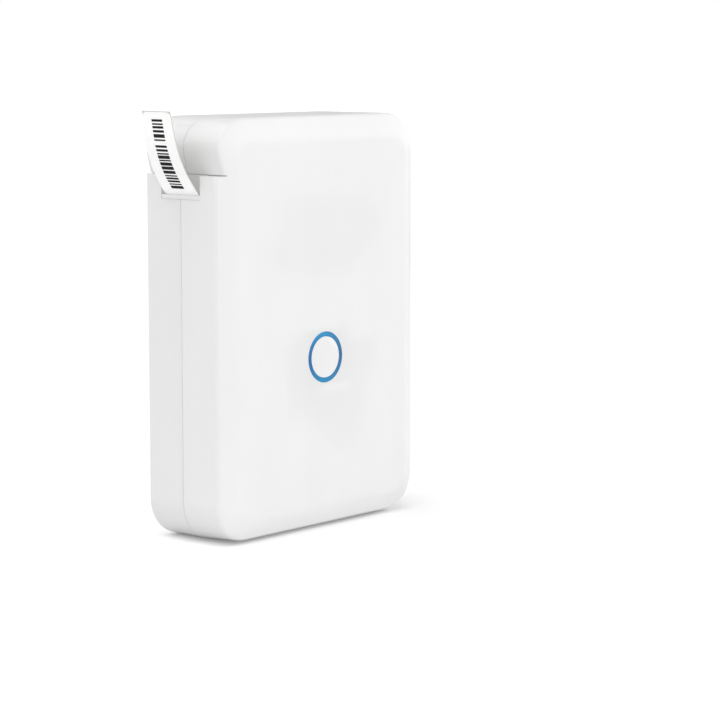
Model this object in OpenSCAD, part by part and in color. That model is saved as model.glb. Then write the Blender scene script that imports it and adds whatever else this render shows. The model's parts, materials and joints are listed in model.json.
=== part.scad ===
// Pocket thermal label printer that stands on its short end.
// Front face towards -Y, label outlet on the -X side near the top, rear cover opens on a
// hinge along the +X side. Origin: middle of the bottom face. Units: millimetres.

/* [Body] */
// Width of the body across the front face
body_w = 76; // [76:0.5:84]
// Depth of the body from the front face to the back
body_d = 27; // [27:0.5:30]
// Height of the body
body_h = 106.5; // [106.5:0.5:112]
// Radius of the four corners of the outline
corner_r = 10.6; // [9:0.2:12]
// Thickness of the housing walls
wall = 1.8; // [1.4:0.1:2.0]
// How far the front bevel runs in across the face
bevel_in = 5.8; // [4:0.2:7]
// How deep the front bevel is
bevel_deep = 2.45; // [1.5:0.05:3]
// Depth of the small bevel round the back
back_bevel = 1.2; // [0.6:0.1:1.6]

/* [Button] */
// Height of the button's centre above the bottom
button_z = 44.7; // [40:0.1:50]
// Radius of the button cap
button_r = 5.3; // [5:0.1:6]
// Width of the lit ring round the button
ring_w = 1.3; // [0.6:0.1:1.4]
// How far the button presses in
button_travel = 0.3; // [0.2:0.05:0.4]

/* [Label] */
// Width of the label stock
label_w = 11.6; // [8:0.1:11.8]
// Outer radius of the label roll
roll_r = 17.4; // [12:0.1:18.2]
// Thickness of the backing strip
strip_t = 0.12; // [0.1:0.01:0.14]
// Thickness of the printed label on the strip
label_t = 0.08; // [0.06:0.01:0.1]

/* [Print mechanism] */
// Radius of the platen roller
platen_r = 4; // [3.6:0.1:4]
// Module of the gears
gear_module = 0.6; // [0.6]
// Teeth on the motor pinion
pinion_teeth = 12; // [12]
// Teeth on the idler's large gear
idler_big_teeth = 28; // [28]
// Teeth on the idler's small gear
idler_small_teeth = 14; // [14]
// Teeth on the platen gear
platen_teeth = 26; // [26]
// Radius of the motor can
motor_r = 7.5; // [6:0.1:7.5]

/* [Hidden] */
$fn = 64;
eps = 0.01;
half_w = body_w / 2;
front_y = -body_d / 2;
back_y = body_d / 2;
bevel_y = front_y + bevel_deep;
split_y = 0.6;
seam = 0.1;
door_y = split_y + seam;

// Screw positions, as [x, z]
screw_post_r = 2.3;
screw_x = half_w - 8;
screw_low_z = 8;
screw_high_z = body_h - 8;

// Outlet on the -X side
ledge_z = 92.3;
notch_z = 86.4;
notch_front_y = -5.9;
notch_back_y = 7.4;
scoop_depth = 2.5;
scoop_rise = 9;
scoop_blend = 0.8;
scoop_top_z = 104.4;
shadow_gap_h = 0.3;
shadow_gap_deep = 0.6;
panel_t = 1.2;
panel_o = 1.15;

// Hinge along the +X side
hinge_x = half_w - 1.6;
hinge_y = split_y + seam / 2;
knuckle_r = 1.6;
relief_r = 2.35;
pin_r = 0.6;
hinge_low_z = 4.6;
hinge_high_z = body_h - hinge_low_z;
hinge_stations = [14, 68];
knuckle_h = 6;
door_knuckle_h = 12;
knuckle_gap = 0.2;

// Tongues that guide the closed cover inside the housing
tongue_z = [18, 36];
tongue_h = 8;

// Label path: s runs along the strip towards the outlet, o away from the print head
feed_angle = 140;
print_x = -half_w + 8;
print_z = 81.3;
path_y = 0.4;
label_y0 = path_y - label_w / 2;
web_half = (strip_t + label_t) / 2;
platen_o = platen_r + 0.2;
roll_s = -30;
roll_o = roll_r + web_half + 0.05;
roll_pos = on_path(roll_s, roll_o);
platen_pos = on_path(0, platen_o);
outlet_s = 10.4;
// Curl beyond the outlet: a first bend, a straight stretch, a second bend and a straight tip
bend_1 = 5;
turn_1 = 13;
straight = 2.7;
bend_2 = 27.4;
turn_2 = 25.8;
tip = 6.2;
lip_o0 = -1.2;
lip_o1 = -0.35;

// Chassis
plate_y0 = -8.2;
plate_y1 = -7.2;
tray_y0 = -2.5;
tray_y1 = -1.5;
bay_r = 19.6;
bay_depth = 16.2;

// Gear train, in front of the chassis plate
gear_gap = 0.05;
layer_a_y = -11.4;
layer_b_y = -9.9;
gear_t = 1.4;
motor_pos = [print_x + 5, print_z - 18.8];
r_pinion = gear_module * pinion_teeth / 2;
r_idler_big = gear_module * idler_big_teeth / 2;
r_idler_small = gear_module * idler_small_teeth / 2;
r_platen_gear = gear_module * platen_teeth / 2;
idler_pos = meet(motor_pos, r_pinion + r_idler_big + gear_gap,
                 platen_pos, r_idler_small + r_platen_gear + gear_gap);
idler_phase = mesh_phase(motor_pos, idler_pos, pinion_teeth, idler_big_teeth, 0);
platen_phase = mesh_phase(idler_pos, platen_pos, idler_small_teeth, platen_teeth, idler_phase);

// Print head
head_pivot_s = -9;
head_pivot_o = -3;
head_pivot = on_path(head_pivot_s, head_pivot_o);
spring_s = -3.5;

// Board, battery and small parts
board_y0 = -9.4;
board_y1 = -8.4;
battery_x = 48;
battery_z = 40;
battery_t = 10;
battery_z0 = 7;
socket_z = 20;
switch_x = -30.5;
switch_z = 31;

plastic_white = [0.95, 0.95, 0.94];
milky = [0.90, 0.91, 0.91];
steel = [0.74, 0.75, 0.77];
black_part = [0.12, 0.12, 0.13];
ring_blue = [0.16, 0.50, 0.78];
board_green = [0.07, 0.34, 0.24];
acetal = [0.93, 0.92, 0.86];
copper = [0.75, 0.48, 0.25];

/* [Show] */
// Which sub-part to draw

// ---------- positions ----------

// Point [x, z] at s along the label path and o away from it
function on_path(s, o) = [print_x + s * cos(feed_angle) + o * sin(feed_angle),
                          print_z + s * sin(feed_angle) - o * cos(feed_angle)];

// Point at distance r1 from p1 and r2 from p2, on the right-hand side of the line up
function meet(p1, r1, p2, r2) =
    let (d = p2 - p1, len = norm(d), a = (r1 * r1 - r2 * r2 + len * len) / (2 * len),
         h = sqrt(r1 * r1 - a * a), u = d / len)
    p1 + a * u + h * [u[1], -u[0]];

// Turn of gear 2 that puts one of its gaps opposite a tooth of gear 1
function mesh_phase(c1, c2, n1, n2, phase1) =
    let (a = atan2(c2[1] - c1[1], c2[0] - c1[0]),
         tooth1 = (a - phase1) * n1 / 360)
    a + 180 + 180 / n2 + (tooth1 - floor(tooth1)) * 360 / n2;

// ---------- drawing helpers ----------

// Extrudes an x-z outline from y0 to y1
module slab(y0, y1) {
    translate([0, y1, 0]) rotate([90, 0, 0]) linear_extrude(y1 - y0) children();
}

module rod_y(pos, r, y0, y1) {
    translate([pos[0], y1, pos[1]]) rotate([90, 0, 0]) cylinder(r = r, h = y1 - y0);
}

module block(low, high) {
    translate(low) cube(high - low);
}

// Box in path coordinates: s and o ranges, and a y range
module path_box(s0, s1, o0, o1, y0, y1) {
    slab(y0, y1) polygon([on_path(s0, o0), on_path(s1, o0), on_path(s1, o1), on_path(s0, o1)]);
}

// Turns children so that their +Z axis points along +o at a place on the path
module along_o(s, o, y) {
    p = on_path(s, o);
    translate([p[0], y, p[1]]) rotate([0, 180 - feed_angle, 0]) children();
}

module rounded_rect(w, h, r) {
    union() {
        square([w - 2 * r, h], center = true);
        square([w, h - 2 * r], center = true);
        for (sx = [-1, 1], sz = [-1, 1])
            translate([sx * (w / 2 - r), sz * (h / 2 - r)]) circle(r);
    }
}

// Body outline shrunk by d, before the outlet scoop is cut
module plain_outline(d) {
    translate([0, body_h / 2]) rounded_rect(body_w - 2 * d, body_h - 2 * d, corner_r - d);
}

// Hollow above the ledge, with a shadow gap at its foot, that fades into the top corner; grown by d
module scoop_area(d) {
    steps = 24;
    foot = ledge_z + shadow_gap_h + d;
    gap_x = scoop_x(ledge_z) + shadow_gap_deep + d;
    polygon(concat(
        [[-half_w - 5, ledge_z - d], [gap_x, ledge_z - d], [gap_x, foot]],
        [for (i = [0 : steps])
            let (z = foot + (scoop_top_z - foot) * i / steps)
            [scoop_x(z) + d, z]],
        [[-half_w - 5, scoop_top_z]]));
}

// Side of the body at height z: the hollow's sloping wall blended into the corner's arc
function scoop_x(z) =
    let (rise = max(0, z - (body_h - corner_r)),
         arc = -half_w + corner_r - sqrt(corner_r * corner_r - rise * rise),
         slope = -half_w + scoop_depth * (1 - (z - ledge_z) / scoop_rise))
    scoop_blend * ln(exp((arc + half_w) / scoop_blend) + exp((slope + half_w) / scoop_blend))
        - half_w;

module outline(d) {
    difference() {
        plain_outline(d);
        scoop_area(d);
    }
}

module scoop_cut() {
    slab(front_y - 1, back_y + 1) scoop_area(0);
}

// Plate whose edge slopes in by inset over its depth; the narrow face is at y_narrow
module bevelled_plate(inset, y_wide, y_narrow) {
    deep = abs(y_wide - y_narrow);
    flip = y_narrow < y_wide ? 1 : 0;
    cx = half_w - corner_r;
    cz = body_h / 2 - corner_r;
    translate([0, y_wide, body_h / 2]) mirror([0, flip, 0]) rotate([-90, 0, 0]) {
        for (sx = [-1, 1], sz = [-1, 1])
            translate([sx * cx, sz * cz, 0])
                cylinder(r1 = corner_r, r2 = corner_r - inset, h = deep);
        translate([-cx, 0, 0]) rotate([90, 0, 90]) linear_extrude(2 * cx)
            sloped_section(body_h / 2, inset, deep);
        translate([0, cz, 0]) rotate([90, 0, 0]) linear_extrude(2 * cz)
            sloped_section(half_w, inset, deep);
    }
}

module sloped_section(half, inset, deep) {
    polygon([[-half, 0], [half, 0], [half - inset, deep], [-half + inset, deep]]);
}

// Wire of round section through a list of points; every other run is slightly thicker, and
// each run goes a little past its bend, so that the runs join cleanly
module wire(points, r) {
    for (i = [0 : len(points) - 2]) {
        run = points[i + 1] - points[i];
        past = r * 0.8;
        before = i > 0 ? past : 0;
        after = i < len(points) - 2 ? past : 0;
        translate(points[i] - before * run / norm(run))
            rotate([0, acos(run[2] / norm(run)), atan2(run[1], run[0])])
                cylinder(r = i % 2 == 0 ? r : r * 1.08, h = norm(run) + before + after, $fn = 24);
    }
}

// Involute tooth flank points, from the base circle out to the tip
function flank(rb, r_tip, half_tooth, steps) =
    [for (i = [0 : steps])
        let (t = sqrt((r_tip * r_tip) / (rb * rb) - 1) * i / steps,
             r = rb * sqrt(1 + t * t),
             inv = t * 180 / PI - atan(t))
        [r, half_tooth - inv]];

// Involute gear outline, 20 degree pressure angle, with a little backlash
module gear_outline(teeth, phase) {
    rp = gear_module * teeth / 2;
    rb = rp * cos(20);
    r_tip = rp + gear_module * 0.95;
    r_root = rp - gear_module * 1.2;
    inv20 = tan(20) * 180 / PI - 20;
    half_tooth = 90 / teeth - 0.05 / rp * 180 / PI + inv20;
    f = flank(rb, r_tip, half_tooth, 4);
    rotate(phase) polygon([for (k = [0 : teeth - 1])
        let (a = k * 360 / teeth)
        each concat(
            [polar(r_root, a - half_tooth * 1.02)],
            [for (p = f) polar(p[0], a - p[1])],
            [for (i = [len(f) - 1 : -1 : 0]) polar(f[i][0], a + f[i][1])],
            [polar(r_root, a + half_tooth * 1.02)])]);
}

function polar(r, a) = [r * cos(a), r * sin(a)];

module gear(pos, teeth, phase, y0, bore) {
    slab(y0, y0 + gear_t) translate(pos) difference() {
        gear_outline(teeth, phase);
        circle(bore);
    }
}

// Pan-head screw with its head towards +Y; y_under is the face below the head
module screw(pos, y_under, length, r, head_r, head_h) {
    difference() {
        union() {
            rod_y(pos, head_r, y_under, y_under + head_h);
            rod_y(pos, r, y_under - length, y_under + eps);
        }
        for (turn = [0, 90])
            translate([pos[0], y_under + head_h, pos[1]]) rotate([0, turn, 0])
                cube([head_r * 1.2, head_h, head_r * 0.3], center = true);
    }
}

function case_screw_places() = [for (sx = [-1, 1], z = [screw_low_z, screw_high_z])
    [sx * screw_x, z]];

// ---------- housing ----------

module front_cover() color(plastic_white) difference() {
    union() {
        difference() {
            bevelled_plate(bevel_in, bevel_y, front_y);
            scoop_cut();
            slab(front_y + wall, bevel_y + 1) outline(wall + 1.6);
        }
        slab(bevel_y - 0.5, bevel_y + 0.8) difference() {
            outline(wall + 0.1);
            outline(wall + 1.6 + eps);
        }
        for (p = case_screw_places()) rod_y(p, screw_post_r, front_y + wall - eps, plate_y0 - 1);
        for (p = board_screw_places()) rod_y(p, 2, front_y + wall - eps, board_y0);
    }
    rod_y([0, button_z], button_r + ring_w, front_y - 1, front_y + wall + 1);
    for (p = board_screw_places()) rod_y(p, 1, front_y + wall + 0.3, plate_y0);
    for (p = case_screw_places()) rod_y(p, 0.85, front_y + wall + 0.3, plate_y0);
}

module mid_housing() color(plastic_white) difference() {
    union() {
        difference() {
            slab(bevel_y, split_y) difference() {
                outline(0);
                outline(wall);
            }
            notch();
            hinge_relief(false);
            socket_opening();
        }
        for (p = case_screw_places()) difference() {
            lug(p);
            rod_y(p, 1.1, plate_y0 - 2, plate_y1);
        }
        outlet_panel(notch_front_y - 0.3, split_y);
        hinge_gutter();
        for (z = hinge_stations) {
            knuckle(z, knuckle_h);
            knuckle(z + knuckle_h + door_knuckle_h + 2 * knuckle_gap, knuckle_h);
        }
    }
    pin_bores();
}

module rear_cover() color(milky) difference() {
    union() {
        difference() {
            union() {
                slab(door_y, back_y - back_bevel) outline(0);
                bevelled_plate(back_bevel, back_y - back_bevel - eps, back_y);
            }
            slab(door_y - 1, back_y - wall) outline(wall);
            scoop_cut();
            notch();
            hinge_relief(true);
        }
        for (z = hinge_stations) knuckle(z + knuckle_h + knuckle_gap, door_knuckle_h);
        outlet_panel(door_y, notch_back_y + 0.3);
        slab(path_y + label_w / 2 + 0.6, back_y - wall + eps) translate(roll_pos) difference() {
            circle(13.2);
            circle(12);
        }
        for (z = tongue_z) {
            block([-half_w + wall - eps, door_y + 0.3, z], [-half_w + wall + 1.35, 9, z + tongue_h]);
            block([-half_w + wall + 0.15, door_y - 3, z],
                  [-half_w + wall + 1.35, door_y + 0.5, z + tongue_h]);
        }
        block([switch_x - 1.5, 2.3, switch_z - 1.5],
              [switch_x + 1.5, back_y - wall + eps, switch_z + 1.5]);
    }
    pin_bores();
}

// Opening in the side wall that the label comes out of
module notch() {
    block([-half_w - 1, notch_front_y, notch_z], [-half_w + 5, notch_back_y, ledge_z + eps]);
    path_box(5, 14, lip_o0 - 0.1, 2, notch_front_y, notch_back_y);
}

// Wall behind the label that carries the hollow's surface down to the outlet slit
module outlet_panel(y0, y1) {
    difference() {
        block([-half_w + scoop_depth, y0, notch_z - 1],
              [-half_w + scoop_depth + panel_t, y1, ledge_z + 0.2]);
        path_box(0, 14, -4, panel_o, y0 - 1, y1 + 1);
    }
}

module socket_opening() {
    translate([half_w - wall - 1, -6.8, socket_z]) rotate([0, 90, 0]) linear_extrude(wall + 2)
        rounded_rect(9.6, 3.6, 1.7);
}

// Lug that a case screw passes through
module lug(p) {
    slab(plate_y0 - 1, plate_y0) intersection() {
        union() {
            translate(p) circle(screw_post_r);
            translate([p[0] > 0 ? p[0] : p[0] - 12, p[1] - screw_post_r])
                square([12, 2 * screw_post_r]);
        }
        outline(wall - eps);
    }
}

// Groove round the hinge axis, left out where the shell has its own knuckles
module hinge_relief(door) {
    for (range = door ? door_relief_ranges() : housing_relief_ranges())
        translate([hinge_x, hinge_y, range[0]]) cylinder(r = relief_r, h = range[1] - range[0]);
}

function door_relief_ranges() = concat(
    [[hinge_low_z, hinge_stations[0] + knuckle_h + knuckle_gap / 2]],
    [[hinge_stations[0] + knuckle_h + door_knuckle_h + 1.5 * knuckle_gap,
      hinge_stations[1] + knuckle_h + knuckle_gap / 2]],
    [[hinge_stations[1] + knuckle_h + door_knuckle_h + 1.5 * knuckle_gap, hinge_high_z]]);

function housing_relief_ranges() = concat(
    [[hinge_low_z, hinge_stations[0] - eps]],
    [for (z = hinge_stations) [z + knuckle_h, z + knuckle_h + door_knuckle_h + 2 * knuckle_gap]],
    [[hinge_stations[0] + 2 * knuckle_h + door_knuckle_h + 2 * knuckle_gap,
      hinge_stations[1]]],
    [[hinge_stations[1] + 2 * knuckle_h + door_knuckle_h + 2 * knuckle_gap, hinge_high_z]]);

module knuckle(z, h) {
    translate([hinge_x, hinge_y, z]) cylinder(r = knuckle_r, h = h);
}

// Curved wall behind the hinge groove that closes off the inside; the half inside the rear
// cover keeps clear of the cover's walls
module hinge_gutter() {
    intersection() {
        translate([0, 0, hinge_low_z]) linear_extrude(hinge_high_z - hinge_low_z) difference() {
            translate([hinge_x, hinge_y]) circle(relief_r + 1.3);
            translate([hinge_x, hinge_y]) circle(relief_r + 0.1);
            translate([half_w - wall - 0.3, hinge_y - 0.1]) square(8);
            translate([half_w - wall + 0.2, hinge_y - 8]) square([8, 9]);
        }
        union() {
            slab(-8, split_y) outline(0.1);
            slab(split_y - eps, 8) outline(wall + 0.2);
        }
    }
}

module pin_bores() {
    for (z = hinge_stations)
        translate([hinge_x, hinge_y, z - eps])
            cylinder(r = pin_r + 0.04, h = pin_length() + 2 * eps);
}

function pin_length() = 2 * knuckle_h + door_knuckle_h + 2 * knuckle_gap;

module hinge_pins() color(steel)
    for (z = hinge_stations)
        translate([hinge_x, hinge_y, z + 0.2]) cylinder(r = pin_r, h = pin_length() - 0.4);

module outlet_lip() color(plastic_white) intersection() {
    union() {
        path_box(4.6, 12, lip_o0, lip_o1, notch_front_y + 0.1, notch_back_y - 0.1);
        path_box(4.6, 7, lip_o0, lip_o1, plate_y1, notch_front_y + 0.2);
    }
    block([-half_w + 0.1, plate_y1, 80], [0, 10, 95]);
}

// ---------- chassis ----------

module chassis() color(black_part) difference() {
    union() {
        slab(plate_y0, plate_y1) difference() {
            intersection() {
                outline(wall + 0.2);
                translate([-half_w, 55]) square([body_w - 5.5, 60]);
            }
            for (p = case_screw_places()) translate(p) circle(1.1);
        }
        slab(plate_y1 - eps, plate_y1 + bay_depth) bay_section();
        block([-26, plate_y0, 51.4], [26, tray_y1, 52.6]);
        block([-26, tray_y0, 5], [26, tray_y1, 52.6]);
        slab(tray_y0, 9) difference() {
            translate([-26, 5]) square([52, 47.6]);
            translate([-24.8, 6.2]) square([49.6, 41.6]);
            translate([-27, 49]) square([54, 2.4]);
        }
        block([-24, plate_y0, 52.5], [24, plate_y1, 56]);
        block([-screw_x, tray_y0, 5], [screw_x, tray_y1, 11]);
        for (sx = [-1, 1])
            rod_y([sx * screw_x, screw_low_z], 2.4, plate_y0, tray_y1);
        path_box(4.8, 6.4, 1.0, 3.0, plate_y1 - eps, 7);
        path_box(-5, 5, 9.2, 10.2, plate_y1 - eps, 8.8);
        path_box(-3.2, 3.2, 1.4, 9.4, 7.6, 8.8);
        path_box(-6, -1.6, -10.2, -9, plate_y1 - eps, 7.4);
        path_box(-24.5, -19.5, -3.9, -2.9, plate_y1 - eps, 6.6);
    }
    rod_y(platen_pos, 1.9, plate_y0 - 1, plate_y1 + 1);
    rod_y(platen_pos, 1.9, 7, 10);
    rod_y(idler_pos, 0.9, plate_y0 - 1, plate_y1 + 1);
    rod_y(head_pivot, 0.9, plate_y0 - 1, plate_y1 + 1);
    rod_y(motor_pos, 2.6, plate_y0 - 1, plate_y1 + 1);
    for (p = motor_screw_places()) rod_y(p, 0.85, plate_y0 - 1, plate_y1 + 1);
    for (p = case_screw_places()) rod_y(p, 1.1, plate_y0 - 1, tray_y1 + 1);
    for (sx = [-1, 1]) rod_y([sx * screw_x, screw_low_z], 1.9, plate_y1, tray_y1 + 1);
    for (p = cover_screw_places()) rod_y(p, 0.6, 4, 10);
    block([-18.2, 2, 47], [-13.8, 10, 49.5]);
}

// Round wall of the roll bay, open towards the print head
module bay_section() {
    translate(roll_pos) difference() {
        circle(bay_r + 1.2);
        circle(bay_r);
        polygon([[0, 0], polar(60, 152), polar(70, 184), polar(60, 216)]);
    }
}

function motor_screw_places() = [motor_pos + polar(5.2, 20), motor_pos + polar(5.2, 200)];
function cover_screw_places() = [for (sx = [-1, 1], z = [5.6, 48.4]) [sx * 22, z]];

module battery_cover() color(black_part) difference() {
    block([-26, 9, 5], [26, 10, 49]);
    for (p = cover_screw_places()) rod_y(p, 0.8, 8, 11);
    for (i = [-2 : 2]) block([i * 7 - 1, 8, 16], [i * 7 + 1, 11, 38]);
}

module cutter_blade() color(steel) {
    teeth = 13;
    pitch = label_w / teeth;
    y0 = path_y - label_w / 2;
    path_box(4.8, 8.2, 0.7, 1.0, y0 - 0.5, y0 + label_w + 0.5);
    along_o(8.2, 0.7, 0) linear_extrude(0.3)
        polygon(concat([[eps, y0]],
            [for (i = [0 : teeth - 1]) each [[-1, y0 + (i + 0.5) * pitch],
                                             [0, y0 + (i + 1) * pitch]]],
            [[eps, y0 + label_w]]));
}

// ---------- button and ring ----------

module light_ring() color(ring_blue) union() {
    slab(front_y, front_y + 3) translate([0, button_z]) difference() {
        circle(button_r + ring_w);
        circle(button_r + 0.1);
    }
    slab(front_y + wall, front_y + wall + 0.6) translate([0, button_z]) difference() {
        circle(button_r + ring_w + 1.2);
        circle(button_r + 0.1);
    }
}

module button_cap() color(plastic_white) union() {
    rod_y([0, button_z], button_r, front_y, front_y + 1.6);
    rod_y([0, button_z], 1.2, front_y + 1.5, front_y + 2.3);
}

module tact_plunger() color(black_part)
    rod_y([0, button_z], 1.5, front_y + 2.35, front_y + 3.3);

module tact_switch() color(steel) difference() {
    block([-3, -10.8, button_z - 3], [3, board_y0, button_z + 3]);
    rod_y([0, button_z], 1.55, -11, -9.7);
}

module ring_leds() color([0.98, 0.98, 0.9])
    for (a = [45 : 90 : 315]) {
        p = [0, button_z] + polar(button_r + ring_w / 2, a);
        translate([p[0], -10.4, p[1]]) rotate([0, -a, 0]) translate([-0.4, 0, -0.8])
            cube([0.8, 1, 1.6]);
    }

// ---------- board ----------

function board_screw_places() = [[-30, 15], [30, 50], [-30, 51], [30, 30]];

module main_board() color(board_green) slab(board_y0, board_y1) difference() {
    translate([-33, 12]) square([66, 42]);
    for (p = board_screw_places()) translate(p) circle(1.1);
}

module board_screws() color(steel)
    for (p = board_screw_places()) screw(p, board_y1, 2, 0.95, 1.8, 1.1);

// Chips, inductor, crystal, connectors and passives on the rear of the board
module board_components() color(black_part) {
    chips = [[-20, 40, 9, 9, 1], [-6, 22, 6, 6, 0.9], [4, 36, 5, 4, 1.2], [12, 20, 6, 6, 3],
             [-18, 20, 5, 4, 1.1], [22, 44, 3.2, 2.5, 0.8], [-8, 46, 4, 3, 1]];
    for (c = chips) block([c[0] - c[2] / 2, board_y1, c[1] - c[3] / 2],
                          [c[0] + c[2] / 2, board_y1 + c[4], c[1] + c[3] / 2]);
    block([-31, board_y1, 45.5], [-26.6, board_y1 + 2.2, 49]);
    for (i = [0 : 7])
        block([-13 + i * 2.4, board_y1, 29.5], [-12.2 + i * 2.4, board_y1 + 0.5, 31.1]);
    for (i = [0 : 4])
        block([-28 + i * 2.2, board_y1, 26], [-26.8 + i * 2.2, board_y1 + 0.5, 26.7]);
}

module radio_shield() color(steel) difference() {
    block([14, board_y1, 31], [26, board_y1 + 2, 42]);
    block([14.3, board_y1 - 1, 31.3], [25.7, board_y1 + 1.8, 41.7]);
}

module usb_socket() color(steel) difference() {
    translate([half_w - 8.6, -6.8, socket_z]) rotate([0, 90, 0]) linear_extrude(7.6)
        rounded_rect(8.9, 3.16, 1.5);
    translate([half_w - 7, -6.8, socket_z]) rotate([0, 90, 0]) linear_extrude(8)
        difference() {
            rounded_rect(8.3, 2.56, 1.2);
            square([6.6, 0.7], center = true);
        }
}

// ---------- battery ----------

module battery_cell() color([0.78, 0.80, 0.83])
    block([-battery_x / 2, tray_y1 + 0.1, battery_z0],
          [battery_x / 2, tray_y1 + 0.1 + battery_t - 0.2, battery_z0 + battery_z]);

module battery_leads() color([0.75, 0.12, 0.10])
    for (i = [0, 1]) {
        x = -15 - i * 2;
        y = 3 + i * 1.4;
        drop_x = -28 - i * 1.4;
        wire([[x, y, battery_z0 + battery_z], [x, y, 50.2], [drop_x, y, 50.2],
              [drop_x, -4.4, 46], [drop_x, -4.4, 42.6]], 0.45);
    }

module battery_plug() color([0.92, 0.90, 0.84]) {
    block([-31, board_y1, 35.6], [-26.5, -3, 42.6]);
}

// ---------- motor and gears ----------

module motor_can() color(steel) difference() {
    union() {
        rod_y(motor_pos, motor_r, plate_y1, plate_y1 + 12);
        rod_y(motor_pos, 2.5, plate_y0, plate_y1 + eps);
    }
    rod_y(motor_pos, 0.8, plate_y0 - 1, plate_y1 + 9);
    for (p = motor_screw_places()) rod_y(p, 0.85, plate_y1 - 1, plate_y1 + 2);
}

module motor_end_cap() color([0.15, 0.35, 0.62]) {
    y0 = plate_y1 + 12;
    rod_y(motor_pos, motor_r - 1, y0, y0 + 1.4);
    for (sx = [-1, 1])
        translate([motor_pos[0] + sx * 4 - 0.2, y0 + 1.3, motor_pos[1] - 1]) cube([0.4, 2.2, 2]);
}

module motor_screws() color(steel)
    for (p = motor_screw_places()) mirror_y(plate_y0) screw(p, plate_y0, 2.4, 0.8, 1.4, 0.7);

module mirror_y(y) {
    translate([0, y, 0]) mirror([0, 1, 0]) translate([0, -y, 0]) children();
}

module motor_shaft() color(steel) rod_y(motor_pos, 0.75, layer_a_y - 0.1, plate_y1 + 8.8);

module motor_pinion() color([0.80, 0.66, 0.32])
    gear(motor_pos, pinion_teeth, 0, layer_a_y, 0.75);

module idler_axle() color(steel) rod_y(idler_pos, 0.9, layer_a_y - 0.2, plate_y1);

module idler_gear() color(acetal) union() {
    gear(idler_pos, idler_big_teeth, idler_phase, layer_a_y, 0.95);
    gear(idler_pos, idler_small_teeth, idler_phase, layer_b_y, 0.95);
    slab(layer_a_y + gear_t - eps, layer_b_y + eps) translate(idler_pos) difference() {
        circle(2.6);
        circle(0.95);
    }
}

module platen_gear() color(acetal)
    gear(platen_pos, platen_teeth, platen_phase, layer_b_y, 1);

module platen_shaft() color(steel) rod_y(platen_pos, 1, layer_b_y - 0.1, 9.4);

module platen_rubber() color(black_part) slab(-6.6, 7.2) translate(platen_pos) difference() {
    circle(platen_r);
    circle(1);
}

module platen_bushes() color(copper)
    for (y = [[plate_y0, plate_y1], [7.6, 8.8]])
        slab(y[0], y[1]) translate(platen_pos) difference() {
            circle(1.9);
            circle(1.05);
        }

// ---------- print head ----------

module head_bracket() color(steel) difference() {
    union() {
        path_box(-7, 1.5, -3.8, -2.9, -7, 7.8);
        for (y = [-7, 7]) {
            path_box(-8.6, -4, -3.8, -1.6, y, y + 0.8);
            rod_y(head_pivot, 1.9, y, y + 0.8);
        }
    }
    rod_y(head_pivot, 0.95, -8, 9);
}

module head_heatsink() color([0.80, 0.81, 0.83])
    path_box(-5, 2.7, -2.9, -0.8, -6, 6.8);

module thermal_element() color([0.86, 0.84, 0.76]) union() {
    path_box(-3.5, 2.5, -0.8, -0.22, -6, 6.8);
    path_box(-0.5, 0.5, -0.23, -0.15, -5.6, 6.4);
}

module head_pivot_pin() color(steel) rod_y(head_pivot, 0.9, plate_y0, 8.2);

module head_springs() color(steel)
    for (y = [-4, 4.8]) {
        turns = 5;
        for (i = [0 : turns - 1]) along_o(spring_s, -9 + 0.35 + i * 1.12, y)
            rotate_extrude() translate([1.3, 0]) circle(0.25, $fn = 16);
        along_o(spring_s, -9, y) cylinder(r = 0.8, h = 5.2);
        for (i = [0 : turns - 1]) along_o(spring_s, -9 + 0.25 + i * 1.12, y)
            cylinder(r = 1.3, h = 0.2);
    }

// Flat cable from the head down the side wall and round to the board
module head_cable() color([0.82, 0.80, 0.72]) {
    x0 = -half_w + wall + 0.5;
    union() {
        block([x0, -6.4, 46], [x0 + 0.15, 1.6, 76]);
        block([x0, -7.4, 46], [x0 + 0.15, -6.3, 48.6]);
        block([x0, -7.55, 46], [-31, -7.4, 48.6]);
        slab(-3, 5) polygon([[x0, 75.6], [x0 + 0.15, 75.4], [-33.0, 78.65], [-33.1, 78.78]]);
    }
}

module tag_antenna_board() color(board_green) slab(plate_y1, plate_y1 + 0.8)
    translate(roll_pos) difference() {
        circle(8);
        circle(4.5);
    }

module paper_sensor() color(black_part)
    path_box(-23.5, -20.5, -2.9, -1.4, -2, 2.8);

module cover_switch() color(black_part) difference() {
    block([switch_x - 2.5, board_y1, switch_z - 3], [switch_x + 2.5, -3, switch_z + 3]);
    rod_y([switch_x, switch_z], 1.05, -6.5, -2);
}

module cover_plunger() color(acetal) rod_y([switch_x, switch_z], 1, -5.6, 2.25);

// ---------- fixings ----------

module case_screws() color(steel) for (p = case_screw_places())
    screw(p, plate_y1, 3.6, 0.8, 1.6, 1);

module battery_cover_screws() color(steel)
    for (p = cover_screw_places()) screw(p, 10, 3, 0.55, 1.3, 0.6);

// ---------- roll and label ----------

module roll_core() color([0.80, 0.72, 0.58])
    slab(label_y0, label_y0 + label_w) translate(roll_pos) difference() {
        circle(9.5);
        circle(8.6);
    }

module label_roll() color([0.93, 0.92, 0.90])
    slab(label_y0, label_y0 + label_w) translate(roll_pos) difference() {
        circle(roll_r);
        circle(9.5);
    }

module core_sticker() color([0.97, 0.97, 0.97]) rod_y(roll_pos, 9.3, label_y0 - 0.2, label_y0);

// Sheet from s0 that runs straight to the outlet, then curls up; o0 and o1 are its faces
module web(s0, o0, o1) {
    slab(label_y0, label_y0 + label_w)
        polygon(concat(web_edge(s0, o0), reverse(web_edge(s0, o1))));
}

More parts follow.
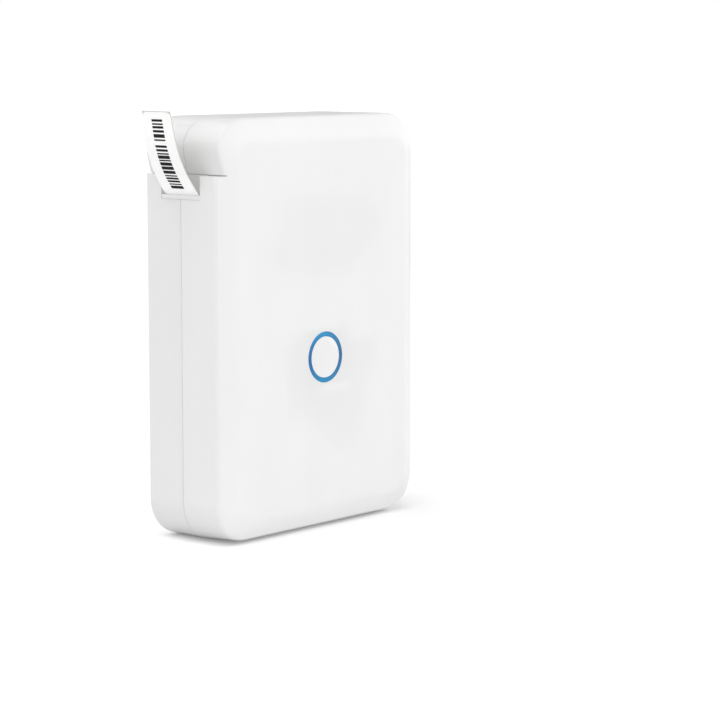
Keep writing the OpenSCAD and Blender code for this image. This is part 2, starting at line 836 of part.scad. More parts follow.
// Points along the sheet at offset o: straight, first bend, straight, second bend, straight tip
function web_edge(s0, o) =
    let (c1 = on_path(outlet_s, bend_1),
         a0 = feed_angle + 90,
         a1 = a0 - turn_1,
         a2 = a1 - turn_2,
         c2 = c1 + polar(bend_1 - bend_2, a1) + polar(straight, a1 - 90))
    concat([on_path(s0, o)],
           [for (i = [0 : 6]) c1 + polar(bend_1 - o, a0 - turn_1 * i / 6)],
           [for (i = [0 : 16]) c2 + polar(bend_2 - o, a1 - turn_2 * i / 16)],
           [c2 + polar(bend_2 - o, a2) + polar(tip, a2 - 90)]);

function reverse(list) = [for (i = [len(list) - 1 : -1 : 0]) list[i]];

module label_strip() color([0.96, 0.96, 0.93]) web(roll_s, -web_half + label_t, web_half);

module printed_label() color([0.99, 0.99, 0.99])
    web(outlet_s - 6, -web_half, -web_half + label_t);

front_cover();
mid_housing();
rear_cover();
chassis();
battery_cover();
outlet_lip();
cutter_blade();
light_ring();
button_cap();
main_board();
board_components();
radio_shield();
ring_leds();
tact_switch();
tact_plunger();
usb_socket();
battery_cell();
battery_leads();
battery_plug();
motor_can();
motor_end_cap();
motor_screws();
motor_shaft();
motor_pinion();
idler_axle();
idler_gear();
platen_shaft();
platen_rubber();
platen_gear();
platen_bushes();
hinge_pins();
head_pivot_pin();
head_springs();
head_bracket();
head_heatsink();
thermal_element();
head_cable();
tag_antenna_board();
paper_sensor();
cover_switch();
cover_plunger();
case_screws();
board_screws();
battery_cover_screws();
roll_core();
label_roll();
core_sticker();
label_strip();
printed_label();
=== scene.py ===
import json
import math
import random
import bpy
import bmesh
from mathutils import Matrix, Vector

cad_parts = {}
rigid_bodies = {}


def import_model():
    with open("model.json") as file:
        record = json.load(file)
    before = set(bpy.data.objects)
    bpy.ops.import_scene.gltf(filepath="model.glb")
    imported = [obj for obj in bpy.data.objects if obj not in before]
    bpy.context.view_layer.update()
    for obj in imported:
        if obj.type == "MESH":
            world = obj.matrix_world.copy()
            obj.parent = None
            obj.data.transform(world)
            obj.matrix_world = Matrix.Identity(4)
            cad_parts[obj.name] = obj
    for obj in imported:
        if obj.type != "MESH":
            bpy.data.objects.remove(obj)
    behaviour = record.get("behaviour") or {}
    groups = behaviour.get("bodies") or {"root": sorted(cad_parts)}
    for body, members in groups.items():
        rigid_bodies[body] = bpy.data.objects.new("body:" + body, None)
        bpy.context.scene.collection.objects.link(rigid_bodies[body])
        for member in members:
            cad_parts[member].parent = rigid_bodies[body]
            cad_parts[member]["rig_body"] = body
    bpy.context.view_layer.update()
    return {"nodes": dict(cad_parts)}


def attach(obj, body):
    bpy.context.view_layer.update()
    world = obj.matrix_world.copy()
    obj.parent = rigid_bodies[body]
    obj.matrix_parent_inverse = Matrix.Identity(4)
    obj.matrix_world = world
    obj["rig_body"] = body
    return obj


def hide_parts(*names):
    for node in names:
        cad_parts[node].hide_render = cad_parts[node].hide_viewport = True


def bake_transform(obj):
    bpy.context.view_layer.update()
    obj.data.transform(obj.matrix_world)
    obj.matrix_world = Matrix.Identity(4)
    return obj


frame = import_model()
NODES = frame["nodes"]
RNG = random.Random(110)
MM = 0.001

# Light levels, set by the brightness that each face should have
AMBIENT = 0.22
REFLECTED = 0.4  # brightness of the surroundings in reflections
# name, azimuth, elevation and spread in degrees, level
SOFTBOXES = (("left", -98, 42, 100, 0.42), ("over", -100, 78, 60, 0.24),
             ("front", -15, 4, 80, 0.26), ("right", 57, 0, 100, 0.56),
             ("rear", 172, 20, 50, 0.22))
FLOOR_BOUNCE, FLOOR_SEEN = 0.8, 1.15  # floor's colour to light rays, and to the camera
LABEL_PAINTED_GLOW = 0.2  # painted glow that brightens the printed label, standing in for the whitener in thermal paper

# Body, in millimetres: half width, front and back faces, height, radius of the four long corners
HALF_W, FRONT_Y, BACK_Y, BODY_H, CORNER_R = 38.0, -13.5, 13.5, 106.5, 10.6
CORE_X, CORE_Z = HALF_W - CORNER_R, BODY_H - CORNER_R  # centres of the corner arcs
BEVEL_Y, SPLIT_Y, BACK_EDGE_Y = -11.05, 0.6, 12.3  # seams, and where the rear edge starts to round
SLOPE_SIN, SLOPE_COS = 0.389, 0.921  # lean of the front bevel
CREASE_R = 0.8  # rounding where the bevel meets the sides
# Hollow above the outlet: its ledge, its top, how deep it is cut there and over what height
LEDGE_Z, SCOOP_TOP, SCOOP_DEPTH, SCOOP_RUN = 92.3, 104.4, 2.5, 9
SCOOP_BLEND = 0.8  # softness of the hollow's run-out into the corner arc
SCOOP_X, SCOOP_Z = -30, 90  # the hollow is left of and above this
BASE_DRAFT, DRAFT_H = 0.75, 4  # how far the front of the underside rises, and how high that fades
BUTTON_Z, BUTTON_CLEAR = 44.7, 9  # height of the button, and the radius kept free of edge work
ON_SURFACE = 0.03  # a point this near the outer surface counts as on it
PROBE = 0.001  # step that the slope of the surface is measured over
NEAR = 0.02
LARGE_FLAT = 4e-4  # square metres, above which a face is shaded flat
WELD = 2e-6  # metres
COPLANAR, CREASE_ANGLE, SAME_SURFACE = 0.6, 12, 30  # degrees between faces
GRID_X, GRID_Z = (-20, -9, 9, 20), (20, 35.7, 53.7, 70, 86)  # divisions of the front panel


# ---------- node helpers ----------

class Shader:
    """Small wrapper that builds one node material."""

    def __init__(self, name):
        self.mat = bpy.data.materials.new(name)
        self.mat.use_nodes = True
        self.nt = self.mat.node_tree
        self.bsdf = self.nt.nodes["Principled BSDF"]
        self.out = self.nt.nodes["Material Output"]
        self.coord = self.nt.nodes.new("ShaderNodeTexCoord").outputs["Object"]

    def link(self, a, b):
        self.nt.links.new(a, b)

    def put(self, socket, value):
        """value is a number, a colour or another node's output."""
        if isinstance(value, bpy.types.NodeSocket):
            self.link(value, socket)
        elif hasattr(socket.default_value, "__len__") and not hasattr(value, "__len__"):
            socket.default_value = [value] * len(socket.default_value)
        elif hasattr(value, "__len__") and len(value) == 3 and len(socket.default_value) == 4:
            socket.default_value = (*value, 1)
        else:
            socket.default_value = value

    def set(self, **inputs):
        """Inputs of the surface by name, with _ for each space."""
        for name, value in inputs.items():
            self.put(self.bsdf.inputs[name.replace("_", " ")], value)
        return self

    def noise(self, scale, detail=3, rough=0.5, stretch=None, distort=0):
        n = self.nt.nodes.new("ShaderNodeTexNoise")
        n.inputs["Scale"].default_value = scale
        n.inputs["Detail"].default_value = detail
        n.inputs["Roughness"].default_value = rough
        n.inputs["Distortion"].default_value = distort
        self.link(self.place(stretch), n.inputs["Vector"])
        return n.outputs["Fac"]

    def voronoi(self, scale, feature="F1"):
        n = self.nt.nodes.new("ShaderNodeTexVoronoi")
        n.feature = feature
        n.inputs["Scale"].default_value = scale
        self.link(self.coord, n.inputs["Vector"])
        return n.outputs["Distance"]

    def place(self, stretch=None, move=None):
        """The object's coordinates, stretched or moved."""
        if stretch is None and move is None:
            return self.coord
        n = self.nt.nodes.new("ShaderNodeMapping")
        self.link(self.coord, n.inputs["Vector"])
        if stretch is not None:
            n.inputs["Scale"].default_value = stretch
        if move is not None:
            n.inputs["Location"].default_value = move
        return n.outputs["Vector"]

    def ramp(self, fac, stops):
        """Colour that changes through stops, which are (position, colour)."""
        n = self.nt.nodes.new("ShaderNodeValToRGB")
        while len(n.color_ramp.elements) < len(stops):
            n.color_ramp.elements.new(0.5)
        for e, (at, colour) in zip(n.color_ramp.elements, stops):
            e.position = at
            e.color = (*colour, 1)
        self.link(fac, n.inputs["Fac"])
        return n.outputs["Color"]

    def span(self, fac, low, high, from_low=0.0, from_high=1.0):
        """fac between from_low and from_high becomes low to high."""
        n = self.nt.nodes.new("ShaderNodeMapRange")
        self.put(n.inputs["Value"], fac)
        for key, v in (("From Min", from_low), ("From Max", from_high),
                       ("To Min", low), ("To Max", high)):
            n.inputs[key].default_value = v
        return n.outputs["Result"]

    def mix(self, fac, a, b):
        n = self.nt.nodes.new("ShaderNodeMix")
        n.data_type = "RGBA"
        self.put(n.inputs[0], fac)
        self.put(n.inputs[6], a)
        self.put(n.inputs[7], b)
        return n.outputs[2]

    def math(self, op, a, b=0.0, c=0.0):
        n = self.nt.nodes.new("ShaderNodeMath")
        n.operation = op
        for socket, v in zip(n.inputs, (a, b, c)):
            self.put(socket, v)
        return n.outputs[0]

    def axes(self, vector=None):
        n = self.nt.nodes.new("ShaderNodeSeparateXYZ")
        self.link(vector if vector is not None else self.coord, n.inputs[0])
        return n.outputs

    def bump(self, height, strength, distance=0.0002):
        """Adds relief on top of any that is there already; distance is in metres."""
        n = self.nt.nodes.new("ShaderNodeBump")
        n.inputs["Strength"].default_value = strength
        n.inputs["Distance"].default_value = distance
        previous = self.bsdf.inputs["Normal"]
        if previous.links:
            self.link(previous.links[0].from_socket, n.inputs["Normal"])
        self.put(n.inputs["Height"], height)
        self.link(n.outputs["Normal"], previous)
        return self

    def see_through(self, share, colour):
        """Lets some light glow through a thin sheet."""
        glow = self.nt.nodes.new("ShaderNodeBsdfTranslucent")
        self.put(glow.inputs["Color"], colour)
        mix = self.nt.nodes.new("ShaderNodeMixShader")
        mix.inputs[0].default_value = share
        self.link(self.bsdf.outputs[0], mix.inputs[1])
        self.link(glow.outputs[0], mix.inputs[2])
        self.link(mix.outputs[0], self.out.inputs["Surface"])
        return self


def tinted(colour, by):
    """Darker or lighter colour."""
    return tuple(min(1, max(0, c * by)) for c in colour)


def moulded(name, colour, rough=0.42, grain=2600, bump=0.12, gloss=0.05, sss=0.0):
    """Injection-moulded plastic: fine spark texture, faint flow marks and handling sheen."""
    s = Shader(name)
    flow = s.noise(60, 4, 0.55, stretch=(1, 1, 0.3))
    fine = s.noise(grain, 2, 0.6)
    smudge = s.noise(90, 5, 0.62, distort=0.6)
    s.set(Base_Color=s.mix(s.span(flow, 0, 1, 0.3, 0.7), tinted(colour, 0.985), tinted(colour, 1.01)),
          Roughness=s.math("ADD", s.span(smudge, rough - 0.06, rough + 0.06, 0.3, 0.7),
                           s.span(fine, -0.03, 0.03)),
          Specular_IOR_Level=0.45, Coat_Weight=gloss, Coat_Roughness=0.2)
    if sss:
        s.set(Subsurface_Weight=sss, Subsurface_Radius=(1, 0.95, 0.9), Subsurface_Scale=0.002)
    s.bump(fine, bump, 0.00003)
    s.bump(flow, 0.04, 0.00005)
    return s


def metal(name, colour, rough=0.3, streak=(1, 1, 60), grain=700, bump=0.1):
    """Rolled, drawn or ground metal: long fine streaks and uneven sheen."""
    s = Shader(name)
    lines = s.noise(grain, 3, 0.7, stretch=streak)
    cloud = s.noise(160, 4, 0.6)
    s.set(Base_Color=s.mix(s.span(cloud, 0, 1, 0.3, 0.7), tinted(colour, 0.86), tinted(colour, 1.05)),
          Metallic=1.0, Roughness=s.math("ADD", s.span(lines, rough - 0.1, rough + 0.12),
                                         s.span(cloud, -0.04, 0.05)))
    s.bump(lines, bump, 0.00002)
    return s


def paint(material, *names):
    """Gives CAD nodes a material."""
    for n in names:
        NODES[n].data.materials.clear()
        NODES[n].data.materials.append(material.mat)


# ---------- mesh helpers ----------

def add_mesh(name, verts, faces, material, body, stands_for=(), smooth=0):
    """New piece from points in metres. The other arguments are those of finish_piece."""
    mesh = bpy.data.meshes.new(name)
    mesh.from_pydata([tuple(v) for v in verts], [], faces)
    mesh.validate()
    o = bpy.data.objects.new(name, mesh)
    bpy.context.scene.collection.objects.link(o)
    return finish_piece(o, material, body, stands_for, smooth)


def finish_piece(o, material, body, stands_for=(), smooth=0):
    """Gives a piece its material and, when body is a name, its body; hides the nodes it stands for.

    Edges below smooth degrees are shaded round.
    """
    bm = bmesh.new()
    bm.from_mesh(o.data)
    bmesh.ops.recalc_face_normals(bm, faces=bm.faces)
    bm.to_mesh(o.data)
    bm.free()
    o.data.materials.clear()
    o.data.materials.append(material.mat)
    if smooth:
        o.data.shade_smooth()
        o.data.set_sharp_from_angle(angle=math.radians(smooth))
    if isinstance(body, str):
        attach(o, body)
    else:
        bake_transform(o)
    if stands_for:
        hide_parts(*stands_for)
    return o


class Solid:
    """Collects boxes, prisms and tubes into one mesh; every length is in millimetres."""

    def __init__(self):
        self.verts, self.faces = [], []

    def add(self, verts, faces):
        base = len(self.verts)
        self.verts += [Vector(v) * MM for v in verts]
        self.faces += [[base + i for i in f] for f in faces]

    def box(self, low, high, chamfer=0.0):
        """Box with its edges cut back by chamfer."""
        c = min(chamfer, *(0.45 * (h - l) for l, h in zip(low, high)))
        (x0, y0, z0), (x1, y1, z1) = low, high
        if c <= 0:
            v = [(x, y, z) for z in (z0, z1) for x, y in ((x0, y0), (x1, y0), (x1, y1), (x0, y1))]
            self.add(v, [(0, 3, 2, 1), (4, 5, 6, 7), (0, 1, 5, 4), (1, 2, 6, 5), (2, 3, 7, 6),
                         (3, 0, 4, 7)])
            return
        rings = []
        for z, inset in ((z0, c), (z0 + c, 0), (z1 - c, 0), (z1, c)):
            rings.append([(x0 + inset + c, y0 + inset, z), (x1 - inset - c, y0 + inset, z),
                          (x1 - inset, y0 + inset + c, z), (x1 - inset, y1 - inset - c, z),
                          (x1 - inset - c, y1 - inset, z), (x0 + inset + c, y1 - inset, z),
                          (x0 + inset, y1 - inset - c, z), (x0 + inset, y0 + inset + c, z)])
        self.loft(rings)

    def loft(self, rings, closed=False):
        """Skin through rings of equal length, with capped ends unless it is closed."""
        n = len(rings[0])
        verts = [p for ring in rings for p in ring]
        faces = []
        count = len(rings)
        for k in range(count if closed else count - 1):
            a, b = k * n, (k + 1) % count * n
            faces += [(a + i, a + (i + 1) % n, b + (i + 1) % n, b + i) for i in range(n)]
        if not closed:
            faces += [tuple(reversed(range(n))), tuple((count - 1) * n + i for i in range(n))]
        self.add(verts, faces)

    def tube(self, points, r, sides=12):
        """Round tube along points."""
        pts = [Vector(p) for p in points]
        side = None
        rings = []
        for i, p in enumerate(pts):
            d = (pts[min(i + 1, len(pts) - 1)] - pts[max(i - 1, 0)]).normalized()
            if side is None:
                side = d.orthogonal().normalized()
            side = (side - d * side.dot(d)).normalized()
            up = d.cross(side)
            rings.append([p + side * (r * math.cos(t)) + up * (r * math.sin(t))
                          for t in (2 * math.pi * k / sides for k in range(sides))])
        self.loft(rings)

    def lathe_y(self, centre, profile, sides):
        """Turns a closed outline of (radius, y) points round a Y axis at centre, an (x, z)."""
        rings = []
        for k in range(sides):
            t = 2 * math.pi * k / sides
            rings.append([(centre[0] + r * math.cos(t), y, centre[1] + r * math.sin(t))
                          for r, y in profile])
        self.loft(rings, closed=True)

    def make(self, name, material, body, stands_for=(), slot=None, smooth=0):
        return add_mesh(name, self.verts, self.faces, material, body, stands_for, smooth)


def rounded_path(points, radius, steps=8):
    """Points with each corner replaced by an arc-like curve."""
    pts = [Vector(p) for p in points]
    out = [pts[0]]
    for a, b, c in zip(pts, pts[1:], pts[2:]):
        r = min(radius, (a - b).length * 0.45, (c - b).length * 0.45)
        p, q = b + (a - b).normalized() * r, b + (c - b).normalized() * r
        out += [p.lerp(b, t).lerp(b.lerp(q, t), t) for t in (i / steps for i in range(steps + 1))]
    return out + [pts[-1]]


def refine(node, rules, material, lift=None, cuts=()):
    """Copy of a CAD node with chosen edges rounded; stands in for the node.

    rules are (test of a vertex, width, segments), lift gives how far a vertex rises, and cuts
    are what round_crease takes.
    """
    bm = bmesh.new()
    bm.from_mesh(NODES[node].data)
    bmesh.ops.remove_doubles(bm, verts=bm.verts, dist=WELD)
    round_crease(bm, cuts)
    bmesh.ops.dissolve_limit(bm, angle_limit=math.radians(COPLANAR), verts=bm.verts,
                             edges=bm.edges)
    for v in bm.verts if lift else ():
        v.co.z += lift(v.co / MM) * MM
    for wanted, width, segments in rules:
        edges = [e for e in bm.edges if len(e.link_faces) == 2
                 and e.calc_face_angle(0) > math.radians(CREASE_ANGLE)
                 and all(wanted(v.co / MM) for v in e.verts)]
        if edges:
            bmesh.ops.bevel(bm, geom=edges, offset=width * MM, segments=segments,
                            profile=0.5, affect="EDGES", clamp_overlap=True)
    panel_grid(bm)
    mesh = bpy.data.meshes.new(node + "_shape")
    bm.to_mesh(mesh)
    bm.free()
    o = bpy.data.objects.new(node + "_shape", mesh)
    bpy.context.scene.collection.objects.link(o)
    finish_piece(o, material, NODES[node]["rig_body"], (node,), smooth=SAME_SURFACE)
    for p in o.data.polygons:
        p.use_smooth = p.area < LARGE_FLAT
    steady_normals(o.data)
    return o


def panel_grid(bm):
    """Divides the front panel into even fields, so that no face on it is long and thin."""
    for point, normal in ([((x * MM, 0, 0), (1, 0, 0)) for x in GRID_X]
                          + [((0, 0, z * MM), (0, 0, 1)) for z in GRID_Z]):
        cut_faces(bm, [f for f in bm.faces if f.normal.y < -0.999
                       and all(v.co.y < (FRONT_Y + NEAR) * MM for v in f.verts)], point, normal)


def cut_faces(bm, faces, point, normal):
    """Cuts faces along the plane through point, which is in metres."""
    geom = list(dict.fromkeys([*faces, *(e for f in faces for e in f.edges),
                               *(v for f in faces for v in f.verts)]))
    bmesh.ops.bisect_plane(bm, geom=geom, dist=1e-6, plane_co=point, plane_no=normal)


def steady_normals(mesh):
    """Corner normals led by the largest faces, and by the true surface where one is known."""
    around = [[] for _ in mesh.vertices]
    for p in mesh.polygons:
        for v in p.vertices:
            around[v].append(p)
    close = math.cos(math.radians(SAME_SURFACE))
    normals = []
    for p in mesh.polygons:
        for v in p.vertices:
            n = Vector()
            for q in around[v]:
                if q.normal.dot(p.normal) > close:
                    n += q.normal * q.area
            n.normalize()
            normals.append(true_normal(mesh.vertices[v].co / MM, n) or n)
    mesh.normals_split_custom_set(normals)


def true_normal(p, near):
    """Exact normal of the rounded outer surface at p, if p is on it and it is about near."""
    if abs(outside(p)) > ON_SURFACE:
        return None
    n = uphill(p).normalized()
    return n if n.dot(near) > math.cos(math.radians(20)) else None


def outside(p):
    """How far p is outside the body, whose side and front slope meet in a rounded crease."""
    inset = CORNER_R - math.hypot(p.x - max(-CORE_X, min(CORE_X, p.x)),
                                  p.z - max(CORNER_R, min(CORE_Z, p.z)))
    side = -inset
    if p.x < SCOOP_X and LEDGE_Z + 0.1 < p.z < SCOOP_TOP:
        lean = (scoop_x(p.z + 0.05) - scoop_x(p.z - 0.05)) / 0.1
        side = max(side, (scoop_x(p.z) - p.x) / math.hypot(1, lean))
    slope = -SLOPE_SIN * inset - SLOPE_COS * (p.y - BEVEL_Y)
    return (min(max(side, slope), -CREASE_R)
            + math.hypot(max(side + CREASE_R, 0), max(slope + CREASE_R, 0)))


def uphill(p):
    """Direction in which outside() grows, and how much over twice PROBE."""
    return Vector([outside(p + d) - outside(p - d)
                   for d in (Vector((PROBE, 0, 0)), Vector((0, PROBE, 0)), Vector((0, 0, PROBE)))])


def round_crease(bm, cuts):
    """Cuts the outer surface at each y and moves its points in to the rounded crease.

    cuts are (y, whether only the faces beside the hollow are cut).
    """
    if not cuts:
        return
    for y, only_scoop in cuts:
        cut_faces(bm, [f for f in bm.faces if not only_scoop
                       or all(v.co.x < SCOOP_X * MM and v.co.z > SCOOP_Z * MM for v in f.verts)],
                  (0, y * MM, 0), (0, 1, 0))
    for v in bm.verts:
        p = v.co / MM
        if not -ON_SURFACE < outside(p) < CREASE_R * 0.6 or p.y < FRONT_Y + 0.3:
            continue
        for _ in range(8):  # Newton's method, across the depth only
            g = uphill(p)
            g.y = 0
            if g.length < 1e-9:
                break
            g /= 2 * PROBE
            p -= g * (outside(p) / g.length_squared)
        v.co = p * MM


def scoop_x(z):
    """Side of the body at height z where the hollow above the ledge is cut."""
    rise = max(0.0, z - CORE_Z)
    arc = CORNER_R - math.sqrt(max(0.0, CORNER_R ** 2 - rise * rise))
    slope = SCOOP_DEPTH * (1 - (z - LEDGE_Z) / SCOOP_RUN)
    both = math.exp(arc / SCOOP_BLEND) + math.exp(slope / SCOOP_BLEND)
    return SCOOP_BLEND * math.log(both) - HALF_W


# ---------- materials ----------

white = moulded("white_shell", (0.88, 0.88, 0.88), rough=0.40, gloss=0.32, sss=0.06)
milky = moulded("milky_shell", (0.86, 0.86, 0.86), rough=0.44, gloss=0.32, sss=0.18)
button_white = moulded("button_white", (0.95, 0.95, 0.95), rough=0.40, gloss=0.32)
black = moulded("black_plastic", (0.035, 0.036, 0.038), rough=0.5, bump=0.3, grain=1800)
acetal = moulded("acetal", (0.72, 0.70, 0.62), rough=0.38, sss=0.3)
blue = moulded("blue_plastic", (0.03, 0.10, 0.30), rough=0.4)
steel = metal("steel", (0.62, 0.63, 0.65), 0.28)
sheet_steel = metal("sheet_steel", (0.58, 0.59, 0.60), 0.34, streak=(1, 30, 1))
aluminium = metal("aluminium", (0.78, 0.79, 0.81), 0.32, streak=(40, 1, 1))
brass = metal("brass", (0.80, 0.58, 0.25), 0.26, streak=(1, 40, 1))

ring = Shader("light_ring")
ring_at = ring.axes(ring.place(move=(0, 0, -BUTTON_Z * MM)))
angle = ring.math("ARCTAN2", ring_at[2], ring_at[0])
ring_colour = ring.ramp(ring.span(angle, 0, 1, -math.pi, math.pi),
                        [(0.0, (0.010, 0.10, 0.29)), (0.22, (0.010, 0.20, 0.40)),
                         (0.5, (0.018, 0.11, 0.25)), (0.78, (0.012, 0.22, 0.44)),
                         (1.0, (0.010, 0.10, 0.29))])
speck = ring.noise(1500, 3)
ring.set(Base_Color=ring_colour, Roughness=ring.span(speck, 0.12, 0.26), IOR=1.49,
         Emission_Color=ring_colour, Emission_Strength=ring.span(speck, 0.3, 0.4))
ring.bump(speck, 0.05, 0.00002)

paint(white, "front_cover", "mid_housing", "outlet_lip")
paint(button_white, "button_cap")
paint(milky, "rear_cover")
paint(ring, "light_ring")
paint(black, "chassis", "battery_cover", "tact_plunger", "cover_switch", "paper_sensor",
      "board_components")
paint(acetal, "idler_gear", "platen_gear", "cover_plunger", "battery_plug")
paint(blue, "motor_end_cap")
paint(steel, "motor_can", "motor_screws", "motor_shaft", "idler_axle", "platen_shaft",
      "hinge_pins", "head_pivot_pin", "head_springs", "case_screws", "board_screws",
      "battery_cover_screws", "usb_socket")
paint(sheet_steel, "cutter_blade", "radio_shield", "tact_switch", "head_bracket")
paint(aluminium, "head_heatsink")
paint(brass, "motor_pinion", "platen_bushes")

board = Shader("board")
trace = board.voronoi(320, "DISTANCE_TO_EDGE")
weave = board.noise(2400, 2)
board.set(Base_Color=board.mix(board.span(trace, 1, 0, 0.02, 0.05), (0.006, 0.085, 0.045),
                               (0.015, 0.16, 0.08)),
          Roughness=board.span(weave, 0.22, 0.34), Coat_Weight=0.3)
board.bump(board.span(trace, 1, 0, 0.02, 0.06), 0.35, 0.00005)
paint(board, "main_board", "tag_antenna_board")

led = Shader("led")
glow = led.voronoi(2000)
led.set(Base_Color=led.mix(glow, (0.85, 0.83, 0.62), (0.95, 0.94, 0.86)), Roughness=0.2,
        Emission_Color=(0.4, 0.7, 1), Emission_Strength=0.3)
paint(led, "ring_leds")

pouch = Shader("pouch")
crinkle = pouch.noise(140, 6, 0.6, distort=0.4)
pouch.set(Base_Color=pouch.mix(crinkle, (0.55, 0.56, 0.58), (0.72, 0.73, 0.75)), Metallic=0.9,
          Roughness=pouch.span(crinkle, 0.24, 0.44, 0.3, 0.7))
pouch.bump(crinkle, 0.5, 0.0003)
paint(pouch, "battery_cell")

wire = moulded("wire", (0.42, 0.018, 0.014), rough=0.3, grain=900, bump=0.08)
paint(wire, "battery_leads")

rubber = Shader("rubber")
ground = rubber.noise(900, 4, 0.7, stretch=(1, 0.15, 1))
rubber.set(Base_Color=rubber.mix(ground, (0.012, 0.012, 0.013), (0.035, 0.035, 0.037)),
           Roughness=rubber.span(ground, 0.6, 0.85))
rubber.bump(ground, 0.4, 0.00005)
paint(rubber, "platen_rubber")

ceramic = Shader("ceramic")
glaze = ceramic.noise(500, 4)
ceramic.set(Base_Color=ceramic.mix(glaze, (0.66, 0.62, 0.50), (0.74, 0.71, 0.60)),
            Roughness=ceramic.span(glaze, 0.12, 0.28), Coat_Weight=0.5)
ceramic.bump(glaze, 0.05)
paint(ceramic, "thermal_element")

film = Shader("polyimide")
film_at = film.axes()
tracks = film.math("PINGPONG", film_at[1], 0.0004)
film.set(Base_Color=film.mix(film.span(tracks, 0, 1, 0.00015, 0.0002), (0.30, 0.12, 0.02),
                             (0.55, 0.24, 0.05)),
         Roughness=film.span(film.noise(300), 0.25, 0.4), Coat_Weight=0.4)
film.bump(film.span(tracks, 0, 1, 0.00014, 0.0002), 0.4, 0.00003)

card = Shader("card")
fibre = card.noise(700, 5, 0.7, stretch=(1, 0.3, 1))
card.set(Base_Color=card.mix(fibre, (0.40, 0.31, 0.20), (0.54, 0.44, 0.30)), Roughness=0.85)
card.bump(fibre, 0.4, 0.0001)
paint(card, "roll_core")

paper = Shader("paper")
grain = paper.noise(1500, 5, 0.7)
paper.set(Base_Color=paper.mix(grain, (0.76, 0.76, 0.74), (0.84, 0.84, 0.82)),
          Roughness=paper.span(grain, 0.35, 0.5), Sheen_Weight=0.1)
paper.bump(grain, 0.12, 0.00004)
paper.see_through(0.2, (0.86, 0.85, 0.80))
paint(paper, "label_strip", "label_roll")

label = Shader("printed_label")
film_grain = label.noise(1200, 4, 0.6)
# The emission is painted glow that brightens the label and the core sticker.
label.set(Base_Color=label.mix(film_grain, (0.95, 0.95, 0.95), (0.98, 0.98, 0.98)),
          Roughness=label.span(film_grain, 0.3, 0.45), Coat_Weight=0.1,
          Emission_Color=(1, 1, 1), Emission_Strength=LABEL_PAINTED_GLOW)
label.bump(film_grain, 0.08, 0.00003)
label.see_through(0.18, (0.95, 0.95, 0.93))
paint(label, "printed_label", "core_sticker")


# ---------- edges ----------

def soften(names, width, segments=2):
    """Small rounded edges, as a mould or a deburring wheel leaves them."""
    for n in names:
        weld = NODES[n].modifiers.new("weld", "WELD")
        weld.merge_threshold = WELD
        m = NODES[n].modifiers.new("edge", "BEVEL")
        m.width = width * MM
        m.segments = segments
        m.limit_method = "ANGLE"
        m.angle_limit = math.radians(38)
        m.harden_normals = True


# ---------- label path, in millimetres ----------

FEED = math.radians(140)  # direction in which the strip runs past the head
PRINT_LINE = (-30.0, 81.3)  # x and z of the line where it prints
ROLL_S, OUTLET_S = -30, 10.4  # distances along the strip from there to the roll and the outlet
# Past the outlet: radius and degrees of a bend, a straight, a second bend and a straight tip
BEND_1, TURN_1, STRAIGHT, BEND_2, TURN_2, TIP = 5.0, 13.0, 2.7, 27.4, 25.8, 6.2
CURL = ((BEND_1 * math.radians(TURN_1), math.radians(TURN_1)), (STRAIGHT, 0),
        (BEND_2 * math.radians(TURN_2), math.radians(TURN_2)), (TIP, 0))  # length, turn
PATH_END = OUTLET_S + sum(length for length, _ in CURL)
LABEL_Y0, LABEL_Y1 = -5.4, 6.2
TWIST = math.radians(9.3)
WEB, FILM_T = 0.1, 0.08
STRIP_STEP, STRIP_ACROSS = 0.45, 10


def on_path(s, o):
    """x and z at s along the strip's straight path and o to its roller side."""
    return (PRINT_LINE[0] + s * math.cos(FEED) + o * math.sin(FEED),
            PRINT_LINE[1] + s * math.sin(FEED) - o * math.cos(FEED))


def path_frame(s):
    """Place [x, z] and heading angle of the strip at s, past the outlet too."""
    if s <= OUTLET_S:
        return on_path(s, 0), FEED
    x, z = on_path(OUTLET_S, 0)
    heading = FEED
    left = s - OUTLET_S
    for length, turn in CURL:
        part = min(left, length)
        angle = turn * part / length
        chord = part if not turn else 2 * (length / turn) * math.sin(angle / 2)
        x += chord * math.cos(heading - angle / 2)
        z += chord * math.sin(heading - angle / 2)
        heading -= angle
        left -= part
        if left <= 0:
            break
    return (x, z), heading


def strip_point(s, y, o):
    """Point on the curled strip, with the tip twisting slightly."""
    (x, z), heading = path_frame(s)
    nx, nz = math.sin(heading), -math.cos(heading)
    amount = TWIST * max(0.0, (s - OUTLET_S) / (PATH_END - OUTLET_S)) ** 1.2
    mid = (LABEL_Y0 + LABEL_Y1) / 2
    dy = y - mid
    return (x + o * nx + dy * math.sin(amount), mid + dy * math.cos(amount), z + o * nz)


def strip_sheet(name, s0, s1, o0, o1, y0, y1, round_tip, material, stands_for, slot):
    """Thin sheet along the strip with rounded corners at its tip."""
    solid = Solid()
    steps = max(8, int((s1 - s0) / STRIP_STEP))
    rings = []
    for i in range(steps + 1):
        s = s0 + (s1 - s0) * i / steps
        cut = 0.0
        if round_tip and s > s1 - round_tip:
            t = (s - (s1 - round_tip)) / round_tip
            cut = round_tip * (1 - math.sqrt(max(0.0, 1 - t * t)))
        ys = [y0 + cut + (y1 - y0 - 2 * cut) * k / STRIP_ACROSS
              for k in range(STRIP_ACROSS + 1)]
        rings.append([strip_point(s, y, o0) for y in ys]
                     + [strip_point(s, y, o1) for y in reversed(ys)])
    solid.loft(rings)
    return solid.make(name, material, "housing", stands_for, slot, smooth=40)


strip_sheet("label_strip_web", ROLL_S, PATH_END, -WEB + FILM_T, WEB, LABEL_Y0, LABEL_Y1, 0,
            paper, ("label_strip",), "paper")
strip_sheet("printed_label_film", OUTLET_S - 6, PATH_END - 0.25, -WEB, -WEB + FILM_T,
            LABEL_Y0 + 0.15, LABEL_Y1 - 0.15, 1.2, label, ("printed_label",), "label")

